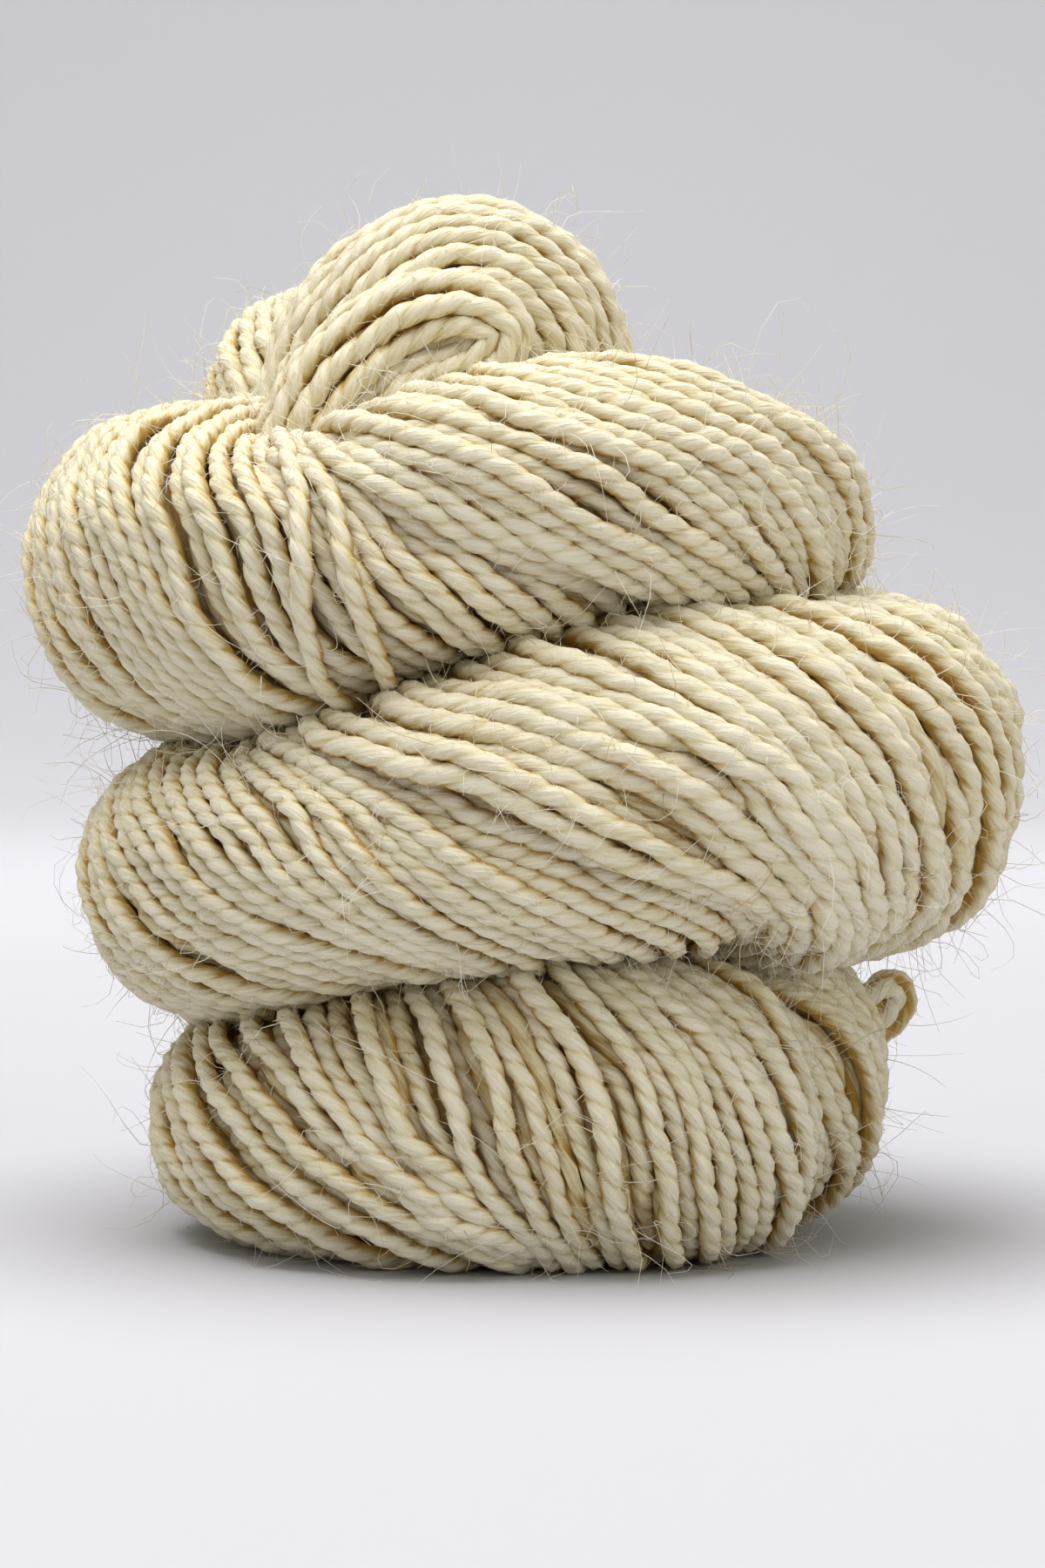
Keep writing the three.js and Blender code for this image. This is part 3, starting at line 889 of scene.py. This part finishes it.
# Starts a tree that scatters fibres over the yarn's shown faces, each with a way to lie and a length.
def scatterTree(name, values, moreInputs=()):
    tree, sockets, group = openTree(name, (
        ("Density", "NodeSocketFloat", values["density"]),
        ("Shortest", "NodeSocketFloat", values["shortest"] * mm),
        ("Longest", "NodeSocketFloat", values["longest"] * mm),
        ("Thickness", "NodeSocketFloat", values["thickness"] * mm),
        ("Stand Up", "NodeSocketFloat", values["standUp"]),
        ("Exposed From", "NodeSocketFloat", values["exposedFrom"]),
        ("Floor Gap", "NodeSocketFloat", values["floorGap"] * mm),
        ("Seed", "NodeSocketInt", values["seed"]),
        ("Material", "NodeSocketMaterial", None),
        *moreInputs,
    ))
    exposure = addNode(tree, "GeometryNodeInputNamedAttribute", {"Name": "exposure"}, data_type="FLOAT")
    outside = addNode(tree, "ShaderNodeMath", {
        0: exposure.outputs[0], 1: group["Exposed From"],
    }, operation="GREATER_THAN")
    scattered = addNode(tree, "GeometryNodeDistributePointsOnFaces", {
        "Mesh": group["Geometry"], "Selection": outside.outputs[0],
        "Density": group["Density"], "Seed": group["Seed"],
    })
    anyWay = addNode(tree, "FunctionNodeRandomValue", {
        0: (-1.0, -1.0, -1.0), 1: (1.0, 1.0, 1.0), "Seed": group["Seed"],
    }, data_type="FLOAT_VECTOR")
    lifted = addNode(tree, "ShaderNodeVectorMath", {
        0: scattered.outputs["Normal"], "Scale": group["Stand Up"],
    }, operation="SCALE")
    way = addNode(tree, "ShaderNodeVectorMath", {0: anyWay.outputs[0], 1: lifted.outputs[0]}, operation="ADD")
    turned = addNode(tree, "FunctionNodeAlignRotationToVector", {"Vector": way.outputs[0]}, axis="Z")
    length = addNode(tree, "FunctionNodeRandomValue", {
        2: group["Shortest"], 3: group["Longest"], "Seed": group["Seed"],
    }, data_type="FLOAT")
    start = {"points": scattered.outputs["Points"], "way": turned.outputs[0], "length": length.outputs[1]}
    return tree, sockets, group, start


# Lifts what would reach through the floor.
def aboveFloor(tree, geometry, gap):
    place = addNode(tree, "GeometryNodeInputPosition").outputs[0]
    parts = addNode(tree, "ShaderNodeSeparateXYZ", {0: place}).outputs
    height = addNode(tree, "ShaderNodeMath", {0: parts["Z"], 1: gap}, operation="MAXIMUM").outputs[0]
    held = addNode(tree, "ShaderNodeCombineXYZ", {"X": parts["X"], "Y": parts["Y"], "Z": height})
    moved = addNode(tree, "GeometryNodeSetPosition", {"Geometry": geometry, "Position": held.outputs[0]})
    return moved.outputs[0]


def fibreTree():
    tree, sockets, group, start = scatterTree("looseFibres", looseFibres, (
        ("Segments", "NodeSocketInt", looseFibres["segments"]),
        ("Curl", "NodeSocketFloat", looseFibres["curl"]),
    ))
    straight = addNode(tree, "GeometryNodeCurvePrimitiveLine", {"End": (0.0, 0.0, 1.0)})
    count = addNode(tree, "ShaderNodeMath", {0: group["Segments"], 1: 1.0}, operation="ADD")
    stepped = addNode(tree, "GeometryNodeResampleCurve", {
        "Curve": straight.outputs[0], "Count": count.outputs[0],
    }, mode="COUNT")
    placed = addNode(tree, "GeometryNodeInstanceOnPoints", {
        "Points": start["points"], "Instance": stepped.outputs[0],
        "Rotation": start["way"], "Scale": start["length"],
    })
    real = addNode(tree, "GeometryNodeRealizeInstances", {"Geometry": placed.outputs[0]})
    place = addNode(tree, "GeometryNodeInputPosition").outputs[0]
    eddies = addNode(tree, "ShaderNodeTexNoise", {
        "Vector": place, "Scale": looseFibres["eddiesPerMetre"], "Detail": 0.0,
    })
    centred = addNode(tree, "ShaderNodeVectorMath", {
        0: eddies.outputs["Color"], 1: (0.5, 0.5, 0.5),
    }, operation="SUBTRACT")
    factor = addNode(tree, "GeometryNodeSplineParameter").outputs["Factor"]
    bend = factor
    for share in (group["Curl"], group["Longest"], looseFibres["eddyReach"]):
        bend = addNode(tree, "ShaderNodeMath", {0: bend, 1: share}, operation="MULTIPLY").outputs[0]
    shift = addNode(tree, "ShaderNodeVectorMath", {0: centred.outputs[0], "Scale": bend}, operation="SCALE")
    curled = addNode(tree, "GeometryNodeSetPosition", {
        "Geometry": real.outputs[0], "Offset": shift.outputs[0],
    })
    ring = addNode(tree, "GeometryNodeCurvePrimitiveCircle", {"Resolution": 3, "Radius": 1.0})
    taper = addNode(tree, "ShaderNodeMath", {
        0: factor, 1: -looseFibres["tipTaper"], 2: 1.0,
    }, operation="MULTIPLY_ADD")
    thick = addNode(tree, "ShaderNodeMath", {
        0: taper.outputs[0], 1: group["Thickness"],
    }, operation="MULTIPLY")
    swept = addNode(tree, "GeometryNodeCurveToMesh", {
        "Curve": aboveFloor(tree, curled.outputs[0], group["Floor Gap"]), "Profile Curve": ring.outputs[0],
        "Scale": thick.outputs[0], "Fill Caps": True,
    })
    softened = addNode(tree, "GeometryNodeSetShadeSmooth", {"Geometry": swept.outputs[0]})
    closeTree(tree, softened.outputs[0], group["Material"])
    return tree, sockets


def fuzzTree(spike):
    tree, sockets, group, start = scatterTree("shortFuzz", fuzz)
    size = addNode(tree, "ShaderNodeCombineXYZ", {
        "X": group["Thickness"], "Y": group["Thickness"], "Z": start["length"],
    })
    shape = addNode(tree, "GeometryNodeObjectInfo", {"Object": spike})
    placed = addNode(tree, "GeometryNodeInstanceOnPoints", {
        "Points": start["points"], "Instance": shape.outputs["Geometry"],
        "Rotation": start["way"], "Scale": size.outputs[0],
    })
    real = addNode(tree, "GeometryNodeRealizeInstances", {"Geometry": placed.outputs[0]})
    held = aboveFloor(tree, real.outputs[0], group["Floor Gap"])
    closeTree(tree, held, group["Material"])
    return tree, sockets


# A closed spike with three sides, one wide and one tall before it is sized.
def spikeObject():
    angles = [fullTurn * side / 3 for side in range(3)]
    corners = [(math.cos(angle), math.sin(angle), 0) for angle in angles] + [(0, 0, 1)]
    mesh = bpy.data.meshes.new("fibreSpike")
    mesh.from_pydata(corners, [], [(2, 1, 0), (0, 1, 3), (1, 2, 3), (2, 0, 3)])
    return addObject("fibreSpike", mesh)


fibreLook = {
    "tip": "#fffdf5",
    "body": "#f0e0b4",
    "deep": "#b48b3c",  # painted shade where a fibre starts deep in a gap
    "bodyAt": 0.3,
    "tipAt": 0.5,
    "sunkShade": -0.4,
    "patchesPerMetre": 700.0,
    "roughness": 0.35,
    "specular": 0.8,
    "throughLight": "#fffaea",
    "throughShare": 0.4,
}


# Single fibres of the same wool: finer, paler and a little glossy where the light catches them, with shade
# painted darker and golden where they start deep in a gap.
def fibreMaterial():
    material, tree = newMaterial("loose wool fibre")
    place = addNode(tree, "ShaderNodeTexCoord").outputs["Object"]
    patches = addNode(tree, "ShaderNodeTexNoise", {
        "Vector": place, "Scale": fibreLook["patchesPerMetre"], "Detail": 1.0,
    })
    # Painted shade: the deeper a fibre starts, the nearer its colour comes to the deep golden one.
    sunk = addNode(tree, "ShaderNodeAttribute", attribute_name="sunk").outputs["Fac"]
    amount = addNode(tree, "ShaderNodeMath", {
        0: sunk, 1: fibreLook["sunkShade"], 2: patches.outputs["Fac"],
    }, operation="MULTIPLY_ADD")
    ramp = addNode(tree, "ShaderNodeValToRGB", {"Fac": amount.outputs[0]})
    stops = ramp.color_ramp.elements
    stops[0].position, stops[0].color = 0.0, linearColour(fibreLook["deep"])
    stops[1].position, stops[1].color = fibreLook["tipAt"], linearColour(fibreLook["tip"])
    stops.new(fibreLook["bodyAt"]).color = linearColour(fibreLook["body"])
    shader = addNode(tree, "ShaderNodeBsdfPrincipled", {
        "Base Color": ramp.outputs["Color"], "IOR": woolIor,
        "Roughness": fibreLook["roughness"], "Specular IOR Level": fibreLook["specular"],
    })
    through = addNode(tree, "ShaderNodeBsdfTranslucent", {"Color": linearColour(fibreLook["throughLight"])})
    soft = addNode(tree, "ShaderNodeMixShader", {
        0: fibreLook["throughShare"], 1: shader.outputs["BSDF"], 2: through.outputs["BSDF"],
    })
    addNode(tree, "ShaderNodeOutputMaterial", {"Surface": soft.outputs[0]})
    return material


# The yarn inside the hank, seen only between the outer turns, its colour a painted shade: the same wool,
# darker and golden, as it looks deep in the gaps.
innerYarn = {
    "inset": 3.0,
    "mergeDistance": 0.02,
    # painted shade: the same cream wool, darker and golden
    "colour": "#c4a868",
    "clumpSize": 1.6,
    "bumpStrength": 0.8,
    "bumpDepth": 0.6,
    "roughness": 0.9,
    "specular": 0.1,
}


# Wool pressed into a mass, matt, in which no single yarn can be told, coloured with painted shade.
def innerMaterial():
    material, tree = newMaterial("packed wool inside the hank")
    place = addNode(tree, "ShaderNodeTexCoord").outputs["Object"]
    clumps = addNode(tree, "ShaderNodeTexNoise", {
        "Vector": place, "Scale": 1 / (innerYarn["clumpSize"] * mm), "Detail": 3.0,
    })
    bump = addNode(tree, "ShaderNodeBump", {
        "Strength": innerYarn["bumpStrength"], "Distance": innerYarn["bumpDepth"] * mm,
        "Height": clumps.outputs["Fac"],
    })
    shader = addNode(tree, "ShaderNodeBsdfPrincipled", {
        "Base Color": linearColour(innerYarn["colour"]), "Normal": bump.outputs["Normal"], "IOR": woolIor,
        "Roughness": innerYarn["roughness"], "Specular IOR Level": innerYarn["specular"],
    })
    addNode(tree, "ShaderNodeOutputMaterial", {"Surface": shader.outputs["BSDF"]})
    return material


# Every piece is the same wool, rides with the hank and stands for its solid.
def belongs(piece):
    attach(piece, "root")
    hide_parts("yarn_hank")


# The solid's own shape, drawn in on all sides.
def makeInnerYarn():
    shape = bmesh.new()
    shape.from_mesh(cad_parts["yarn_hank"].data)
    bmesh.ops.remove_doubles(shape, verts=shape.verts, dist=innerYarn["mergeDistance"] * mm)
    bmesh.ops.recalc_face_normals(shape, faces=shape.faces)
    shape.normal_update()
    places = [corner.co - corner.normal * innerYarn["inset"] * mm for corner in shape.verts]
    for corner, place in zip(shape.verts, places):
        corner.co = place
    mesh = bpy.data.meshes.new("inner_yarn")
    shape.to_mesh(mesh)
    shape.free()
    mesh.materials.clear()
    mesh.materials.append(innerMaterial())
    mesh.polygons.foreach_set("use_smooth", [True] * len(mesh.polygons))
    mesh.polygons.foreach_set("material_index", [0] * len(mesh.polygons))
    inner = addObject("inner_yarn", mesh)
    belongs(inner)
    return inner


# A mesh of edges along the runs, with what the node tree needs at each point.
def runMesh(name, runs):
    sizes = [len(run["points"]) for run in runs]
    points = np.concatenate([run["points"] for run in runs]) * mm
    edges, place = [], 0
    for size in sizes:
        edges += [(place + index, place + index + 1) for index in range(size - 1)]
        place += size
    mesh = bpy.data.meshes.new(name)
    mesh.from_pydata(points.tolist(), edges, [])
    vectors = np.concatenate([run["outward"] for run in runs]).astype(np.float32)
    mesh.attributes.new("outward", "FLOAT_VECTOR", "POINT").data.foreach_set("vector", vectors.ravel())
    # How deep each point lies: sunk among its neighbours, buried in a crease or in the layer underneath. The
    # materials paint shade by it.
    depths = [run["sunk"] + run["buried"] + run["layer"] * lie["underLayer"] for run in runs]
    values = {
        "thickness": np.concatenate([run["thickness"] for run in runs]),
        "sunk": np.concatenate(depths),
        "tone": np.repeat([run["tone"] for run in runs], sizes),
        "phase": np.repeat([run["phase"] for run in runs], sizes),
    }
    for key, value in values.items():
        mesh.attributes.new(key, "FLOAT", "POINT").data.foreach_set("value", value.astype(np.float32))
    return mesh


# Runs a node tree over a mesh and leaves the result as a plain piece.
def bakeNodes(name, mesh, tree, sockets, values):
    source = addObject(name + "_source", mesh)
    modifier = source.modifiers.new("nodes", "NODES")
    modifier.node_group = tree
    for key, value in values.items():
        modifier[sockets[key]] = value
    depsgraph = bpy.context.evaluated_depsgraph_get()
    made = bpy.data.meshes.new_from_object(source.evaluated_get(depsgraph))
    made.name = name
    bpy.data.objects.remove(source)
    piece = addObject(name, made)
    belongs(piece)
    return piece


def triangleCount(piece):
    piece.data.calc_loop_triangles()
    return len(piece.data.loop_triangles)


random = np.random.default_rng(lie["seed"])
allRuns = []
for number in range(len(yarnLayers)):
    allRuns += coilRuns(random, number)
    if number == 0:
        allRuns += overlyingRuns(random)
    for strandName, strand in strands.items():
        if number < strand["layers"]:
            allRuns += strandRuns(random, strandName, number)
allRuns = visibleRuns(allRuns)
print("runs of yarn:", len(allRuns), "points:", sum(len(run["points"]) for run in allRuns))
settle(allRuns)
print("runs settled")

wools = [undyedWoolMaterial(layer["material"], layer["darker"]) for layer in yarnLayers]
sections = [yarnSectionObject(layer["section"]) for layer in yarnLayers]
twistedYarn, yarnSockets = yarnTree()
fibreSpike = spikeObject()
looseKinds = [("_fuzz", *fuzzTree(fibreSpike)), ("_fibres", *fibreTree())]
fibre = fibreMaterial()
print("materials and node trees ready")

pieces = [makeInnerYarn()]
for tierName, stretch in yarnPieces.items():
    for number, layer in enumerate(yarnLayers):
        runs = [run for run in allRuns if run["layer"] == number and holdsYarn(stretch, run["tier"])]
        name = tierName + layer["ending"]
        yarn = bakeNodes(name, runMesh(name, runs), twistedYarn, yarnSockets, {
            "Section": sections[number], "Material": wools[number], "Step": layer["step"] * mm,
            "Twist Pitch": stretch["pitch"] * layer["pitchFactor"] * mm,
        })
        pieces.append(yarn)
        length = sum(len(run["points"]) for run in runs) * lie["pointSpacing"]
        print(name, "length mm", round(length), "triangles", triangleCount(yarn))
        for kind, tree, sockets in (looseKinds if number == 0 else ()):
            loose = bakeNodes(name + kind, yarn.data.copy(), tree, sockets, {"Material": fibre})
            pieces.append(loose)
            print(loose.name, "triangles", triangleCount(loose))
for helper in sections + [fibreSpike]:
    bpy.data.objects.remove(helper)
print("triangles in all", sum(triangleCount(piece) for piece in pieces))


# The studio: a pale paper sweep, soft light from above and the sides, and the camera at the photo's angle.
studio = {
    "paper": "#c4c4ca",
    "paperRoughness": 0.75,
    "paperSpecular": 0.3,
    "grainPerMetre": 900.0,
    "grainStrength": 0.05,
    "grainDepth": 0.2,
    "sweepBack": 700,
    "sweepRadius": 500,
    "sweepHeight": 2200,
    "sweepHalfWidth": 2200,
    "sweepFront": 1200,
    "sweepSteps": 24,
    "air": "#ece6d6",  # what reaches the hank from the room all round
    "airStrength": 0.28,
}


# Matt paper, pulled smooth, with a faint grain that only dulls what it mirrors.
def paperMaterial():
    material, tree = newMaterial("matt background paper")
    place = addNode(tree, "ShaderNodeTexCoord").outputs["Object"]
    grain = addNode(tree, "ShaderNodeTexNoise", {
        "Vector": place, "Scale": studio["grainPerMetre"], "Detail": 2.0,
    })
    bump = addNode(tree, "ShaderNodeBump", {
        "Strength": studio["grainStrength"], "Distance": studio["grainDepth"] * mm,
        "Height": grain.outputs["Fac"],
    })
    shader = addNode(tree, "ShaderNodeBsdfPrincipled", {
        "Base Color": linearColour(studio["paper"]), "Normal": bump.outputs["Normal"],
        "Roughness": studio["paperRoughness"], "Specular IOR Level": studio["paperSpecular"],
    })
    addNode(tree, "ShaderNodeOutputMaterial", {"Surface": shader.outputs["BSDF"]})
    return material


def makeSweep():
    radius, back = studio["sweepRadius"], studio["sweepBack"]
    outline = [(-studio["sweepFront"], 0.0)]
    for step in range(studio["sweepSteps"] + 1):
        angle = math.pi / 2 * step / studio["sweepSteps"]
        outline.append((back + radius * math.sin(angle), radius - radius * math.cos(angle)))
    outline.append((back + radius, studio["sweepHeight"]))
    half = studio["sweepHalfWidth"]
    points = [(side * half * mm, y * mm, z * mm) for y, z in outline for side in (-1, 1)]
    faces = [(2 * i, 2 * i + 1, 2 * i + 3, 2 * i + 2) for i in range(len(outline) - 1)]
    mesh = bpy.data.meshes.new("paper_sweep")
    mesh.from_pydata(points, [], faces)
    mesh.polygons.foreach_set("use_smooth", [True] * len(mesh.polygons))
    mesh.materials.append(paperMaterial())
    sweep = addObject("paper_sweep", mesh)


lights = {
    "overhead": {
        "at": (-80, -60, 900), "aim": (0, 0, 45),
        "size": (900, 800), "power": 7.8, "spread": 140,
    },
    "left": {
        "at": (-650, -700, 700), "aim": (0, 0, 45),
        "size": (600, 700), "power": 1.6, "spread": 180,
    },
    "right": {
        "at": (700, -700, 420), "aim": (0, 0, 45),
        "size": (600, 600), "power": 2.4, "spread": 180,
    },
    "backdrop": {
        "at": (0, 500, 900), "aim": (0, 1150, 200),
        "size": (1600, 300), "power": 2.9, "spread": 120,
    },
    "far_floor": {
        "at": (0, 520, 900), "aim": (0, 520, 0),
        "size": (1600, 200), "power": 1.15, "spread": 60,
    },
}


def addLights():
    for name, values in lights.items():
        data = bpy.data.lights.new(name + "_light", "AREA")
        data.shape = "RECTANGLE"
        data.size, data.size_y = (side * mm for side in values["size"])
        data.energy = values["power"]
        data.spread = math.radians(values["spread"])
        light = addObject(name + "_light", data)
        light.location = [place * mm for place in values["at"]]
        aim = Vector(values["aim"]) * mm
        light.rotation_euler = (aim - light.location).to_track_quat("-Z", "Y").to_euler()
    world = bpy.data.worlds.new("studio_air")
    world.use_nodes = True
    background = world.node_tree.nodes["Background"]
    background.inputs["Color"].default_value = linearColour(studio["air"])
    background.inputs["Strength"].default_value = studio["airStrength"]
    bpy.context.scene.world = world


# A long lens a little above the hank's middle, pitched down by a few degrees.
camera = {
    "at": (0, -450, 65.6),
    "pitch": 2.8,
    "lens": 105.88,
    "sensor": 36,
    "nearest": 10,
    "farthest": 20000,
}


def addCamera():
    data = bpy.data.cameras.new("photo_view")
    data.lens, data.sensor_width, data.sensor_fit = camera["lens"], camera["sensor"], "AUTO"
    data.clip_start, data.clip_end = camera["nearest"] * mm, camera["farthest"] * mm
    view = addObject("photo_view", data)
    view.location = [place * mm for place in camera["at"]]
    view.rotation_euler = (math.radians(90 - camera["pitch"]), 0, 0)
    bpy.context.scene.camera = view


makeSweep()
addLights()
addCamera()
bpy.context.scene.view_settings.view_transform = "Standard"
print("studio ready")
